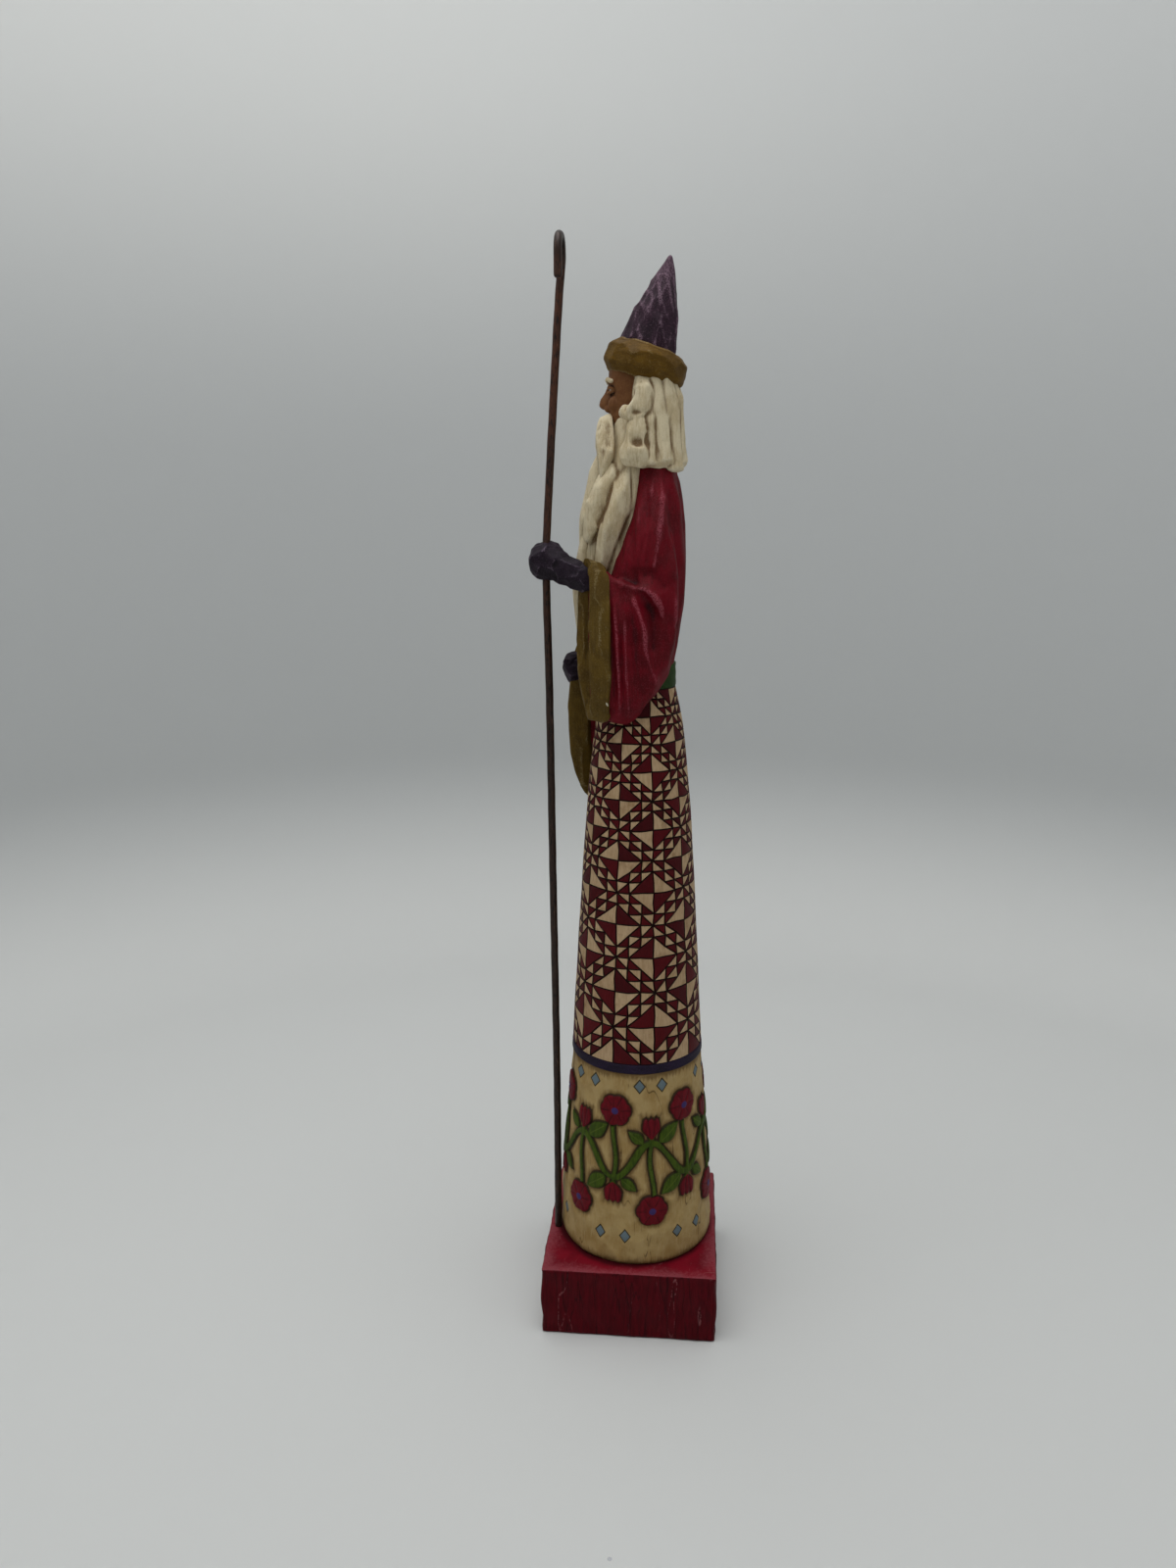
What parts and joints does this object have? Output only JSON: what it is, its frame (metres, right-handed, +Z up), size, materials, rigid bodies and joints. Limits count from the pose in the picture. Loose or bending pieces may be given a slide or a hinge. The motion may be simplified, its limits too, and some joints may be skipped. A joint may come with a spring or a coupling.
{
  "type": "santa figurine",
  "caption": "Tall, slim carved-look santa in a pointed hat and quilted robe, standing on a square block with a bowed, hooked rod for a staff.",
  "frame": {"origin": "centre of the block's underside", "axes": "+Z up, -Y the way the figure faces, +X towards the figure's left hand, which holds the staff"},
  "size_m": [0.0834, 0.0807, 0.4487],
  "materials": {
    "painted_resin": "painted, antiqued and dry-brushed resin",
    "block_paint": "painted, with rubbed edges and fine cracks",
    "rod_metal": "copper-brown paint with black speckle",
    "robe_quilt": "cream and dark red patches with dark grooves",
    "robe_border": "cream ground, antiqued brown round raised motifs",
    "coat_red": "crimson, dry-brushed pink on the ridges",
    "cuff_gold": "olive gold, streaked and speckled",
    "mitten_plum": "dark plum, dry-brushed grey",
    "beard_cream": "cream with tan in the cuts",
    "face_brown": "warm brown, antiqued",
    "hat_plum": "dark plum, dry-brushed lilac",
    "belt_green": "mid green, matt"
  },
  "bodies": {
    "root": {"figure": "painted_resin", "base_block": "block_paint", "staff": "rod_metal"}
  },
  "joints": []
}
